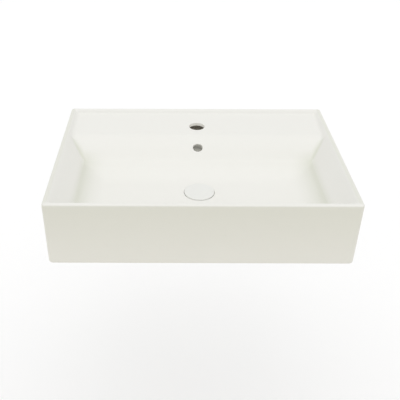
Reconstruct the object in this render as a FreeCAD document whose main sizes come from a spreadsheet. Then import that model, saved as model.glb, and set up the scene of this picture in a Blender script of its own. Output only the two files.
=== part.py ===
import FreeCAD, Part
import math
import os
import Sketcher

# Wall hung ceramic basin with its click-clack waste and its wall fixings.
# Millimetres. The wall is the plane Y = 0, the basin reaches towards -Y, +X is to the right and +Z is up.
# The origin is the middle of the back face, half way up. The waste stands on a vertical axis of its own.

DRIVING_DIMENSIONS = {
    # outside of the casting
    "basin_width": 600.0,
    "basin_depth": 420.0,
    "basin_height": 140.0,
    "wall_thickness": 9.0,
    "corner_radius": 6.0,
    "rim_round": 3.5,
    "foot_round": 3.0,
    # tap ledge and bowl, as drops below the rim
    "ledge_drop": 10.0,
    "ledge_front": 134.0,
    "ledge_thickness": 9.0,
    "side_slope": 0.8,
    "back_slope": 1.025,
    "crease_drop": 50.0,
    "drain_drop": 66.0,
    "drain_half_width": 60.0,
    "drain_back": 40.0,
    "drain_front": 40.0,
    "crease_corner": 24.0,
    "drain_corner": 38.0,
    "duct_width": 48.0,
    "duct_bore_width": 32.0,
    # holes in the casting
    "tap_setback": 78.0,
    "tap_hole_radius": 17.5,
    "overflow_drop": 26.4,
    "overflow_radius": 11.7,
    "waste_setback": 272.0,
    "waste_hole_radius": 23.0,
    "recess_radius": 33.25,
    "recess_depth": 7.5,
    "boss_radius": 41.0,
    "boss_drop": 122.0,
    "fixing_spacing": 280.0,
    "fixing_hole_radius": 8.0,
    "fixing_pad_radius": 20.0,
    "fixing_pad_reach": 20.0,
    # waste fitting, inch and a quarter
    "flange_radius": 31.5,
    "flange_thickness": 2.0,
    "gasket_thickness": 1.5,
    "neck_radius": 22.4,
    "thread_radius": 20.95,
    "tube_radius": 18.5,
    "tail_length": 92.0,
    "slot_width": 18.0,
    "slot_height": 13.0,
    "clamp_radius": 34.0,
    "seal_height": 6.0,
    "slip_washer_thickness": 1.5,
    "backnut_height": 10.0,
    "backnut_across_flats": 55.0,
    "bridge_radius": 12.0,
    "bridge_bore": 8.0,
    "cover_radius": 32.5,
    "cover_thickness": 4.2,
    "cover_stand": 3.0,
    "plunger_radius": 4.0,
    "cartridge_radius": 7.9,
    "cartridge_bore": 6.0,
    "running_gap": 0.06,
    "spring_wire": 0.9,
    "spring_radius": 4.4,
    "spring_length": 13.65,
    "spring_turns": 6,
    # wall fixings, M10
    "stud_radius": 5.0,
    "stud_in_wall": 62.0,
    "stud_reach": 42.0,
    "sleeve_flange": 16.0,
    "washer_radius": 13.0,
    "washer_thickness": 1.6,
    "nut_across_flats": 17.0,
    "nut_height": 8.0,
}

doc = FreeCAD.newDocument("wall_hung_basin")
sheet = doc.addObject("Spreadsheet::Sheet", "Dims")
for row, (alias, number) in enumerate(DRIVING_DIMENSIONS.items(), start=1):
    sheet.set(f"A{row}", alias.replace("_", " "))
    sheet.set(f"B{row}", str(number))
    sheet.setAlias(f"B{row}", alias)
doc.recompute()


class Size:
    """A length together with the formula on the sheet's cells that gives it."""

    def __init__(self, number, formula):
        self.number = number
        self.formula = formula

    def combined(self, other, sign, reverse=False):
        other = other if isinstance(other, Size) else Size(float(other), f"{float(other)}")
        left, right = (other, self) if reverse else (self, other)
        number = {
            "+": lambda: left.number + right.number,
            "-": lambda: left.number - right.number,
            "*": lambda: left.number * right.number,
            "/": lambda: left.number / right.number,
        }[sign]()
        return Size(number, f"({left.formula} {sign} {right.formula})")

    def __add__(self, other):
        return self.combined(other, "+")

    def __radd__(self, other):
        return self.combined(other, "+", reverse=True)

    def __sub__(self, other):
        return self.combined(other, "-")

    def __rsub__(self, other):
        return self.combined(other, "-", reverse=True)

    def __mul__(self, other):
        return self.combined(other, "*")

    def __rmul__(self, other):
        return self.combined(other, "*", reverse=True)

    def __truediv__(self, other):
        return self.combined(other, "/")

    def __neg__(self):
        return self.combined(0, "-", reverse=True)


def size(alias):
    """The sheet's cell of that name."""
    return Size(float(sheet.get(alias)), f"Dims.{alias}")


def fixed(number):
    """A small length with no cell of its own."""
    return Size(float(number), f"{float(number)}")


# ---------------------------------------------------------------- levels that several pieces share

rim_level = size("basin_height") / 2
foot_level = -rim_level
ledge_level = rim_level - size("ledge_drop")
drain_level = rim_level - size("drain_drop")
recess_level = drain_level - size("recess_depth")
boss_level = rim_level - size("boss_drop")
flange_under = recess_level + size("gasket_thickness")
flange_top = flange_under + size("flange_thickness")
cover_top = drain_level + size("cover_stand")
cover_under = cover_top - size("cover_thickness")
bridge_top = flange_top - 11
bridge_under = bridge_top - 8
stem_shoulder = flange_top - 4
lip_top = stem_shoulder - 1
lip_under = lip_top - 2.5
crown_top = flange_top - 16
crown_under = crown_top - 4
rotor_teeth = crown_under - 0.3
rotor_top = crown_under - 1.2
rotor_under = rotor_top - 5
spring_seat = rotor_under - 0.15 - size("spring_length") - size("spring_wire") - 0.1
sleeve_foot = spring_seat - 3
half_width = size("basin_width") / 2
wall = size("wall_thickness")
depth = size("basin_depth")


# ---------------------------------------------------------------- helpers for bodies and sketches


def new_body(label, setback=None, sideways=None):
    """A body of its own for one physical piece, set back from the wall or to one side."""
    body = doc.addObject("PartDesign::Body", label)
    body.Label = label
    if setback is not None:
        body.setExpression("Placement.Base.y", (-setback).formula)
    if sideways is not None:
        body.setExpression("Placement.Base.x", sideways.formula)
    return body


def new_sketch(body, name, plane="XY_Plane", level=None):
    """A sketch on one of the body's own planes, lifted off it by level."""
    sketch = body.newObject("Sketcher::SketchObject", f"{body.Label}_{name}")
    support = [feature for feature in body.Origin.OriginFeatures if feature.Role == plane][0]
    sketch.AttachmentSupport = [(support, "")]
    sketch.MapMode = "FlatFace"
    if level is not None:
        sketch.setExpression("AttachmentOffset.Base.z", level.formula)
    return sketch


def bind(sketch, kind, *where, length):
    """One dimension of a sketch, tied to the sheet."""
    index = sketch.addConstraint(Sketcher.Constraint(kind, *where, length.number))
    sketch.setExpression(f"Constraints[{index}]", length.formula)


def pin_point(sketch, piece, end, across, along):
    """Hold one point of a sketch at its two coordinates."""
    bind(sketch, "DistanceX", -1, 1, piece, end, length=across)
    bind(sketch, "DistanceY", -1, 1, piece, end, length=along)


def outline(sketch, corners):
    """A closed outline of straight lines through the corners."""
    corners = [[c if isinstance(c, Size) else fixed(c) for c in corner] for corner in corners]
    points = [FreeCAD.Vector(across.number, along.number, 0) for across, along in corners]
    count = len(points)
    for i in range(count):
        sketch.addGeometry(Part.LineSegment(points[i], points[(i + 1) % count]), False)
    for i in range(count):
        sketch.addConstraint(Sketcher.Constraint("Coincident", i, 2, (i + 1) % count, 1))
        pin_point(sketch, i, 1, *corners[i])


def circle(sketch, radius, across=0, along=0):
    """A circle held by its centre and radius."""
    across, along = [c if isinstance(c, Size) else fixed(c) for c in (across, along)]
    centre = FreeCAD.Vector(across.number, along.number, 0)
    index = sketch.addGeometry(Part.Circle(centre, FreeCAD.Vector(0, 0, 1), radius.number), False)
    pin_point(sketch, index, 3, across, along)
    bind(sketch, "Radius", index, length=radius)


def rounded_rectangle(sketch, half, back, front, radius):
    """A rectangle with round corners: half its width each side of the middle, from back to front."""
    corners = [(half, back, 0), (-half, back, 90), (-half, front, 180), (half, front, 270)]
    for across, along, start in corners:
        inward_x = -1 if across.number > 0 else 1
        inward_y = -1 if along is back else 1
        centre_x, centre_y = across + inward_x * radius, along + inward_y * radius
        centre = FreeCAD.Vector(centre_x.number, centre_y.number, 0)
        full = Part.Circle(centre, FreeCAD.Vector(0, 0, 1), radius.number)
        arc = Part.ArcOfCircle(full, math.radians(start), math.radians(start + 90))
        index = sketch.addGeometry(arc, False)
        pin_point(sketch, index, 3, centre_x, centre_y)
        bind(sketch, "Radius", index, length=radius)
        level_end, upright_end = (1, 2) if start in (0, 180) else (2, 1)
        sketch.addConstraint(Sketcher.Constraint("Horizontal", index, 3, index, level_end))
        sketch.addConstraint(Sketcher.Constraint("Vertical", index, 3, index, upright_end))
    for first in range(4):
        second = (first + 1) % 4
        start_point = sketch.getPoint(first, 2)
        end_point = sketch.getPoint(second, 1)
        side = sketch.addGeometry(Part.LineSegment(start_point, end_point), False)
        sketch.addConstraint(Sketcher.Constraint("Coincident", first, 2, side, 1))
        sketch.addConstraint(Sketcher.Constraint("Coincident", side, 2, second, 1))


def add_feature(body, kind, name, sketch, **settings):
    """A sketch-based feature, with its lengths tied to the sheet."""
    feature = body.newObject(f"PartDesign::{kind}", f"{body.Label}_{name}")
    feature.Profile = sketch
    for setting, choice in settings.items():
        if isinstance(choice, Size):
            feature.setExpression(setting, choice.formula)
        else:
            setattr(feature, setting, choice)
    sketch.Visibility = False
    return feature


def pad(body, name, sketch, length, **settings):
    return add_feature(body, "Pad", name, sketch, Length=length, **settings)


def pocket(body, name, sketch, length, **settings):
    """A pocket that is known to have taken material away."""
    doc.recompute()
    before = body.Shape.Volume
    feature = add_feature(body, "Pocket", name, sketch, Length=length, **settings)
    doc.recompute()
    check_cut(feature, before)
    return feature


def check_cut(feature, before):
    if feature.Shape.Volume >= before:
        raise RuntimeError(f"{feature.Name} cuts nothing")


def turned(body, name, corners, plane="XZ_Plane"):
    """A turned solid: the outline is spun about the sketch's upright axis."""
    sketch = new_sketch(body, f"{name}_outline", plane)
    outline(sketch, corners)
    return add_feature(body, "Revolution", name, sketch, ReferenceAxis=(sketch, ["V_Axis"]), Angle=360.0)


def round_edges(body, name, radius, wanted):
    """Round the edges of the body that wanted picks out."""
    doc.recompute()
    base = body.Tip
    edges = [f"Edge{i}" for i, edge in enumerate(base.Shape.Edges, start=1) if wanted(edge)]
    feature = body.newObject("PartDesign::Fillet", f"{body.Label}_{name}")
    feature.Base = (base, edges)
    feature.setExpression("Radius", radius.formula)
    base.Visibility = False
    return feature


def repeat_round(body, name, feature, count):
    """Repeat a feature round the body's upright axis."""
    pattern = body.newObject("PartDesign::PolarPattern", f"{body.Label}_{name}")
    pattern.Originals = [feature]
    pattern.Axis = ([f for f in body.Origin.OriginFeatures if f.Role == "Z_Axis"][0], [""])
    pattern.Angle = 360.0
    pattern.Occurrences = count
    body.Tip = pattern
    return pattern


# ---------------------------------------------------------------- the ceramic casting

FLOOR_FALL_POWER = 2.5
FLOOR_STEPS = 6
SAME_LEVEL = 1e-4
BLOCKS_MAY_DIFFER = 1e-4


def bowl_section(body, name, drop, half, back, front, radius):
    sketch = new_sketch(body, name, level=rim_level - drop)
    rounded_rectangle(sketch, half, back, front, radius)
    return sketch


def loft(body, kind, name, sections):
    """Straight-sided from each section to the next."""
    feature = add_feature(body, kind, name, sections[0], Sections=sections[1:], Ruled=True)
    for section in sections:
        section.Visibility = False
    return feature


def sloped_outline(drop, growth):
    """Half width, back and front of the bowl's planar walls at a drop below the rim.

    growth is how far outside the glazed face the outline lies, square to the wall."""
    sides = growth * math.hypot(1, size("side_slope").number)
    rear = growth * math.hypot(1, size("back_slope").number)
    half = half_width - wall - size("side_slope") * drop + sides
    back = -size("ledge_front") - size("back_slope") * (drop - size("ledge_drop")) + rear
    front = wall - depth + size("side_slope") * drop - sides
    return half, back, front


def bowl_floor_sections(body, name, growth, top_drop, steps, radius):
    """Sections of the dished floor, from the crease at the foot of the walls down to the drain.

    The floor falls steeply at first and then gently, as the power of the way that is left."""
    last_radius = size("drain_corner") + growth
    half, back, front = sloped_outline(top_drop, growth)
    last_half = size("drain_half_width") + growth
    last_back = size("drain_back") - size("waste_setback") + growth
    last_front = -size("drain_front") - size("waste_setback") - growth
    last_drop = size("drain_drop") + growth
    sections = []
    for step in range(steps + 1):
        way = step / steps
        fallen = 1 - (1 - way) ** FLOOR_FALL_POWER
        sections.append(
            bowl_section(
                body,
                f"{name}_{step}",
                top_drop + (last_drop - top_drop) * fallen,
                half + (last_half - half) * way,
                back + (last_back - back) * way,
                front + (last_front - front) * way,
                radius + (last_radius - radius) * way,
            )
        )
    return sections


def make_casting():
    body = new_body("casting")
    no_growth = fixed(0)

    block = new_sketch(body, "plan", level=foot_level)
    rounded_rectangle(block, half_width, fixed(0), -depth, size("corner_radius"))
    pad(body, "block", block, size("basin_height"))

    # the open underside, up to the underside of the tap ledge
    underside_drop = size("ledge_drop") + size("ledge_thickness")
    underside = new_sketch(body, "underside_plan", level=foot_level)
    rounded_rectangle(underside, half_width - wall, -wall, wall - depth, size("corner_radius"))
    pocket(body, "underside", underside, size("basin_height") - underside_drop, Reversed=True)

    # the bowl's outer skin
    skin_crease = size("crease_drop") + wall / 2
    crease_radius = size("crease_corner")
    skin_top = sloped_outline(underside_drop, wall)
    floor_skin = bowl_floor_sections(body, "skin_floor", wall, skin_crease, FLOOR_STEPS, crease_radius)
    top_section = bowl_section(body, "skin_top", underside_drop, *skin_top, crease_radius)
    loft(body, "AdditiveLoft", "skin_walls", [top_section, floor_skin[0]])
    loft(body, "AdditiveLoft", "skin_floor", floor_skin)

    # boss round the waste hole, with the overflow's duct running into it from the back
    boss = new_sketch(body, "boss_plan", level=boss_level)
    circle(boss, size("boss_radius"), 0, -size("waste_setback"))
    pad(body, "boss", boss, drain_level - boss_level)
    duct = new_sketch(body, "duct_side", "YZ_Plane")
    duct_back = -size("ledge_front") + 20
    duct_low = boss_level + 4
    outline(
        duct,
        [
            (duct_back, ledge_level - 5),
            (duct_back, ledge_level - 29),
            (duct_back - 90, duct_low),
            (-size("waste_setback") + 25, duct_low),
            (-size("waste_setback") + 25, drain_level - 8),
            (-size("ledge_front") - 47, ledge_level - 47),
            (-size("ledge_front") - 1, ledge_level - 8),
        ],
    )
    pad(body, "duct", duct, size("duct_width"), Midplane=True)

    # pads that the wall studs clamp
    for side, name in ((-1, "left"), (1, "right")):
        fixing = new_sketch(body, f"fixing_pad_{name}_plan", "XZ_Plane", level=wall - 1)
        circle(fixing, size("fixing_pad_radius"), side * size("fixing_spacing") / 2, 0)
        pad(body, f"fixing_pad_{name}", fixing, size("fixing_pad_reach") - wall + 1)

    # the ledge, then the bowl below it
    ledge_half, _, ledge_front = sloped_outline(size("ledge_drop"), no_growth)
    rim_half, _, rim_front = sloped_outline(fixed(0), no_growth)
    corner = size("corner_radius")
    rim_section = bowl_section(body, "rim_opening", fixed(0), rim_half, -wall, rim_front, corner)
    ledge_section = bowl_section(
        body, "ledge_foot", size("ledge_drop"), ledge_half, -wall - 2, ledge_front, corner
    )
    loft(body, "SubtractiveLoft", "ledge_space", [rim_section, ledge_section])
    bowl_top = sloped_outline(size("ledge_drop"), no_growth)
    top_section = bowl_section(body, "bowl_top", size("ledge_drop"), *bowl_top, size("corner_radius"))
    floor = bowl_floor_sections(
        body, "bowl_floor", no_growth, size("crease_drop"), FLOOR_STEPS, crease_radius
    )
    loft(body, "SubtractiveLoft", "bowl_walls", [top_section, floor[0]])
    loft(body, "SubtractiveLoft", "bowl_floor", floor)

    # tap hole
    tap = new_sketch(body, "tap_hole_plan", level=rim_level)
    circle(tap, size("tap_hole_radius"), 0, -size("tap_setback"))
    pocket(body, "tap_hole", tap, underside_drop + 1)

    # waste hole, with a recess that takes the flange and the cover
    recess = new_sketch(body, "recess_plan", level=rim_level)
    circle(recess, size("recess_radius"), 0, -size("waste_setback"))
    pocket(body, "recess", recess, rim_level - recess_level)
    hole = new_sketch(body, "waste_hole_plan", level=rim_level)
    circle(hole, size("waste_hole_radius"), 0, -size("waste_setback"))
    pocket(body, "waste_hole", hole, size("basin_height"))

    # ring of space round the slotted waste, the duct behind the bowl and the overflow hole
    chamber = new_sketch(body, "chamber_plan", level=boss_level + 10)
    circle(chamber, size("boss_radius") - 10, 0, -size("waste_setback"))
    pocket(body, "chamber", chamber, fixed(20), Reversed=True)
    bore = new_sketch(body, "duct_bore_side", "YZ_Plane")
    bore_low = boss_level + 11
    bore_back = duct_back - 8
    outline(
        bore,
        [
            (bore_back, ledge_level - 26),
            (bore_back - 90, bore_low),
            (-size("waste_setback") + 27, bore_low),
            (-size("waste_setback") + 27, bore_low + 17),
            (-size("ledge_front") - 71, drain_level - 13.5),
            (-size("ledge_front") - 46, drain_level - 4),
            (-size("ledge_front") - 31.5, ledge_level - 44),
            (-size("ledge_front"), ledge_level - 14),
        ],
    )
    pocket(body, "duct_bore", bore, size("duct_bore_width"), Midplane=True)
    return body


def add_overflow_hole(body):
    """The overflow's round mouth, cut square to the back slope until it opens into the duct."""
    slope_angle = math.degrees(math.atan(1 / size("back_slope").number))
    drop = size("overflow_drop")
    across = -size("ledge_front") - size("back_slope") * (drop - size("ledge_drop"))
    mouth = body.newObject("Sketcher::SketchObject", "casting_overflow_plan")
    support = [feature for feature in body.Origin.OriginFeatures if feature.Role == "XY_Plane"][0]
    mouth.AttachmentSupport = [(support, "")]
    mouth.MapMode = "FlatFace"
    mouth.AttachmentOffset = FreeCAD.Placement(
        FreeCAD.Vector(0, 0, 0), FreeCAD.Rotation(FreeCAD.Vector(1, 0, 0), slope_angle)
    )
    mouth.setExpression("AttachmentOffset.Base.y", across.formula)
    mouth.setExpression("AttachmentOffset.Base.z", (rim_level - drop).formula)
    circle(mouth, size("overflow_radius"))
    reach_into_duct = fixed(16)
    pocket(body, "overflow_hole", mouth, reach_into_duct)


def finish_basin_edges(body):
    """Soft glazed edges on the rim and the foot. The four upright corners are round in the plan."""
    top = rim_level.number
    foot = foot_level.number

    def on_rim(edge):
        box = edge.BoundBox
        return abs(box.ZMin - top) < SAME_LEVEL and abs(box.ZMax - top) < SAME_LEVEL

    def on_foot(edge):
        box = edge.BoundBox
        flat = abs(box.ZMin - foot) < SAME_LEVEL and abs(box.ZMax - foot) < SAME_LEVEL
        outside = max(abs(box.XMin), abs(box.XMax)) > half_width.number - 1
        outside = outside or box.YMin < 1 - depth.number or box.YMax > -1
        return flat and outside

    round_edges(body, "rim_round", size("rim_round"), on_rim)
    round_edges(body, "foot_round", size("foot_round"), on_foot)


def add_fixing_holes(body):
    for side, name in ((-1, "left"), (1, "right")):
        hole = new_sketch(body, f"fixing_hole_{name}_plan", "XZ_Plane")
        circle(hole, size("fixing_hole_radius"), side * size("fixing_spacing") / 2, 0)
        pocket(body, f"fixing_hole_{name}", hole, size("fixing_pad_reach") + 5, Reversed=True)


def split_at_creases(casting):
    """The one casting as blocks that meet face to face, each a simple shape.

    The wall plate, the tap ledge, the two sides, the front, the floor left and right of the drain, the
    floor in front of it, four quarters round the drain, and the bowl's back with half the duct on each side."""
    behind_pads = -size("fixing_pad_reach").number
    bowl_back = -size("ledge_front").number
    crease_half, _, crease_front = sloped_outline(size("crease_drop"), fixed(0))
    side = crease_half.number
    front = crease_front.number
    strip = size("boss_radius").number + 4
    duct = size("duct_width").number / 2
    half = half_width.number
    nose = -depth.number
    drain = -size("waste_setback").number
    drain_front = drain - strip
    drain_back = drain + strip
    blocks = [
        (-half, half, behind_pads, 0),
        (-half, half, bowl_back, behind_pads),
        (-half, -side, nose, bowl_back),
        (side, half, nose, bowl_back),
        (-side, side, nose, front),
        (-side, -strip, front, bowl_back),
        (strip, side, front, bowl_back),
        (-strip, strip, front, drain_front),
        (-strip, 0, drain_front, drain),
        (0, strip, drain_front, drain),
        (-strip, 0, drain, drain_back),
        (0, strip, drain, drain_back),
        (-strip, -duct, drain_back, bowl_back),
        (-duct, 0, drain_back, bowl_back),
        (0, duct, drain_back, bowl_back),
        (duct, strip, drain_back, bowl_back),
    ]
    solids = []
    for low_x, high_x, low_y, high_y in blocks:
        corner = FreeCAD.Vector(low_x, low_y, foot_level.number)
        block = Part.makeBox(high_x - low_x, high_y - low_y, size("basin_height").number, corner)
        solids += casting.Shape.common(block).Solids
    kept = sum(solid.Volume for solid in solids) / casting.Shape.Volume
    if abs(kept - 1) > BLOCKS_MAY_DIFFER:
        raise RuntimeError(f"the blocks hold {kept:.5f} of the casting")
    basin_body = doc.addObject("Part::Feature", "basin_body")
    basin_body.Label = "basin_body"
    basin_body.Shape = Part.makeCompound(solids)
    return basin_body


# ---------------------------------------------------------------- the waste


def waste_piece(label):
    return new_body(label, setback=size("waste_setback"))


def make_waste_body():
    """Flanged and threaded brass tube, with a bridge across it for the latch and two overflow slots."""
    body = waste_piece("waste_body")
    tail_level = flange_top - size("tail_length")
    relief_level = boss_level - 18
    turned(
        body,
        "tube",
        [
            (24.5, flange_top),
            (size("flange_radius"), flange_top),
            (size("flange_radius"), flange_under),
            (size("neck_radius"), flange_under),
            (size("neck_radius"), flange_top - 8),
            (size("thread_radius"), flange_top - 9.5),
            (size("thread_radius"), relief_level),
            (size("thread_radius") - 0.6, relief_level),
            (size("thread_radius") - 0.6, relief_level - 1.2),
            (size("thread_radius"), relief_level - 1.2),
            (size("thread_radius"), tail_level + 1),
            (size("thread_radius") - 1, tail_level),
            (size("tube_radius"), tail_level),
            (size("tube_radius"), flange_top - 7),
            (20.5, flange_top - 3),
        ],
    )
    slots = new_sketch(body, "slots_side", "XZ_Plane")
    slot_top = bridge_under - 5
    slot_low = slot_top - size("slot_height")
    slot_half = size("slot_width") / 2
    outline(
        slots,
        [(-slot_half, slot_low), (slot_half, slot_low), (slot_half, slot_top), (-slot_half, slot_top)],
    )
    pocket(body, "slots", slots, size("flange_radius") * 2, Midplane=True)
    ring = new_sketch(body, "bridge_ring", level=bridge_under)
    circle(ring, size("bridge_radius"))
    circle(ring, size("bridge_bore"))
    pad(body, "ring", ring, bridge_top - bridge_under)
    rib = new_sketch(body, "rib_plan", level=bridge_under)
    inner = size("bridge_radius") - 0.5
    outer = size("tube_radius") + 0.5
    outline(rib, [(inner, -1.5), (outer, -1.5), (outer, 1.5), (inner, 1.5)])
    rib_pad = pad(body, "rib", rib, bridge_top - bridge_under)
    doc.recompute()
    repeat_round(body, "ribs", rib_pad, 4)
    return body


def make_rings():
    """The soft and clamping rings round the waste, from the flange down to the nut."""
    flange_gasket = waste_piece("flange_gasket")
    turned(
        flange_gasket,
        "ring",
        [(23.4, recess_level), (31, recess_level), (31, flange_under), (23.4, flange_under)],
    )
    lower_seal = waste_piece("lower_seal")
    seal_under = boss_level - size("seal_height")
    clamp = size("clamp_radius")
    ring_bore = size("thread_radius") + 0.3
    turned(
        lower_seal,
        "ring",
        [
            (ring_bore, seal_under),
            (clamp, seal_under),
            (clamp, boss_level),
            (22.7, boss_level),
            (21.9, boss_level + 3),
            (ring_bore, boss_level + 3),
        ],
    )
    slip_washer = waste_piece("slip_washer")
    washer_under = seal_under - size("slip_washer_thickness")
    turned(
        slip_washer,
        "ring",
        [(ring_bore, washer_under), (clamp, washer_under), (clamp, seal_under), (ring_bore, seal_under)],
    )
    backnut = waste_piece("backnut")
    nut_under = washer_under - size("backnut_height")
    half_corner = size("backnut_across_flats") / (2 * math.cos(math.radians(30)))
    plan = new_sketch(backnut, "plan", level=nut_under)
    corners = [math.radians(60 * i) for i in range(6)]
    outline(plan, [(half_corner * math.cos(a), half_corner * math.sin(a)) for a in corners])
    circle(plan, size("thread_radius") + 0.05)
    pad(backnut, "hexagon", plan, washer_under - nut_under)
    return [flange_gasket, lower_seal, slip_washer, backnut]


def make_cover():
    """The ceramic disc that shows, the plate bonded under it and the seal that closes on the flange."""
    waste_cover = waste_piece("waste_cover")
    turned(
        waste_cover,
        "disc",
        [
            (0, cover_under),
            (size("cover_radius"), cover_under),
            (size("cover_radius"), cover_top),
            (0, cover_top),
        ],
    )
    edge_round = fixed(1.4)
    top = cover_top.number

    def on_top(edge):
        box = edge.BoundBox
        return abs(box.ZMin - top) < SAME_LEVEL and abs(box.ZMax - top) < SAME_LEVEL

    round_edges(waste_cover, "edge_round", edge_round, on_top)
    cover_carrier = waste_piece("cover_carrier")
    plate_under = flange_top + 0.6
    lip = plate_under + 0.6
    turned(
        cover_carrier,
        "plate",
        [
            (0, cover_under),
            (23, cover_under),
            (23, lip),
            (24.8, lip),
            (24.8, plate_under),
            (6, plate_under),
            (6, stem_shoulder),
            (3.05, stem_shoulder),
            (3.05, flange_top + 1.5),
            (0, flange_top + 1.5),
        ],
    )
    cover_seal = waste_piece("cover_seal")
    turned(
        cover_seal,
        "ring",
        [
            (23.05, cover_under),
            (27.5, cover_under),
            (27.5, flange_top + 0.3),
            (25, flange_top + 0.3),
            (25, lip),
            (23.05, lip),
        ],
    )
    return [waste_cover, cover_carrier, cover_seal]


def make_latch():
    """The click-clack latch: plunger and toothed rotor inside a sleeve with a screwed plug."""
    plunger = waste_piece("plunger")
    stem = size("plunger_radius")
    crown = size("cartridge_bore") - 0.4
    turned(
        plunger,
        "stem",
        [
            (0, flange_top + 1.3),
            (3, flange_top + 1.3),
            (3, stem_shoulder),
            (stem, stem_shoulder),
            (stem, crown_top),
            (crown, crown_top),
            (crown, crown_under),
            (2, crown_under),
            (2, rotor_under - 0.8),
            (0, rotor_under - 0.8),
        ],
    )
    notch = new_sketch(plunger, "notch_plan", level=crown_under)
    outline(notch, [(2.6, -0.7), (6.5, -0.7), (6.5, 0.7), (2.6, 0.7)])
    notch_cut = pocket(plunger, "notch", notch, fixed(1), Reversed=True)
    repeat_round(plunger, "notches", notch_cut, 8)

    latch_rotor = waste_piece("latch_rotor")
    rotor_bore = 2 + size("running_gap")
    turned(
        latch_rotor,
        "ring",
        [(rotor_bore, rotor_under), (crown, rotor_under), (crown, rotor_top), (rotor_bore, rotor_top)],
    )
    tooth = new_sketch(latch_rotor, "tooth_plan", level=rotor_top - 0.5)
    outline(tooth, [(2.9, -0.5), (5.3, -0.5), (5.3, 0.5), (2.9, 0.5)])
    tooth_pad = pad(latch_rotor, "tooth", tooth, rotor_teeth - rotor_top + 0.5)
    doc.recompute()
    repeat_round(latch_rotor, "teeth", tooth_pad, 8)

    cartridge_body = waste_piece("cartridge_body")
    outer = size("cartridge_radius")
    bore = size("cartridge_bore")
    guide = stem + size("running_gap")
    turned(
        cartridge_body,
        "sleeve",
        [
            (guide, lip_top),
            (outer, lip_top),
            (outer, bridge_top + 2),
            (10.5, bridge_top + 2),
            (10.5, bridge_top),
            (outer, bridge_top),
            (outer, sleeve_foot),
            (bore, sleeve_foot),
            (bore, lip_under),
            (guide, lip_under),
        ],
    )
    cartridge_cap = waste_piece("cartridge_cap")
    turned(
        cartridge_cap,
        "plug",
        [
            (0, spring_seat),
            (bore - 0.1, spring_seat),
            (bore - 0.1, sleeve_foot),
            (outer, sleeve_foot),
            (outer, sleeve_foot - 3),
            (0, sleeve_foot - 3),
        ],
    )
    return [plunger, latch_rotor, cartridge_body, cartridge_cap]


def arc_between(start, corner, end):
    """The round stretch that touches start-corner and corner-end at their far ends."""
    arm = (corner - start).Length
    chord_middle = (start + end) * 0.5
    to_middle = chord_middle - corner
    half_chord = (end - start).Length / 2
    half_turn = math.acos(min(1.0, half_chord / arm))
    radius = arm / math.tan(half_turn)
    way = radius / math.cos(half_turn) - radius
    return Part.Arc(start, corner + to_middle.normalize() * way, end).toShape()


def make_latch_spring():
    """The spring under the rotor: one unbroken wire along smoothly joined arcs."""
    wire_radius = float(sheet.get("spring_wire")) / 2
    coil_radius = float(sheet.get("spring_radius"))
    length = float(sheet.get("spring_length"))
    turns = int(float(sheet.get("spring_turns")))
    low = spring_seat.number + wire_radius + 0.05
    quarter = math.pi / 2
    rise = length / turns / (2 * math.pi)

    def place(angle):
        across, along = coil_radius * math.cos(angle), coil_radius * math.sin(angle)
        return FreeCAD.Vector(across, along, low + rise * angle)

    def heading(angle):
        along = FreeCAD.Vector(-coil_radius * math.sin(angle), coil_radius * math.cos(angle), rise)
        return along.normalize()

    edges = []
    for step in range(4 * turns):
        start, end = place(step * quarter), place((step + 1) * quarter)
        leave, arrive = heading(step * quarter), heading((step + 1) * quarter)
        span = end - start
        both = leave + arrive
        spread = 2 * (1 - leave.dot(arrive))
        arm = (math.sqrt(span.dot(both) ** 2 + spread * span.dot(span)) - span.dot(both)) / spread
        first, second = start + leave * arm, end - arrive * arm
        joint = (first + second) * 0.5
        edges.append(arc_between(start, first, joint))
        edges.append(arc_between(joint, second, end))
    path = Part.Wire(edges)
    section = Part.Wire(Part.Circle(place(0), heading(0), wire_radius).toShape())
    coil = path.makePipeShell([section], True, False)

    marks = [place(i * quarter / 8) for i in range(32 * turns + 1)]
    gaps = [(a - b).Length for i, a in enumerate(marks) for b in marks[i + 24 :]]
    print(f"least gap between the spring's turns: {min(gaps) - 2 * wire_radius:.2f} mm")
    expected = math.pi * wire_radius**2 * path.Length
    print(f"spring volume over wire section times length: {coil.Volume / expected:.3f}")
    spring = doc.addObject("Part::Feature", "latch_spring")
    spring.Label = "latch_spring"
    spring.Shape = coil
    spring.Placement = FreeCAD.Placement(
        FreeCAD.Vector(0, -size("waste_setback").number, 0), FreeCAD.Rotation()
    )
    return spring


# ---------------------------------------------------------------- the wall fixings


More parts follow.
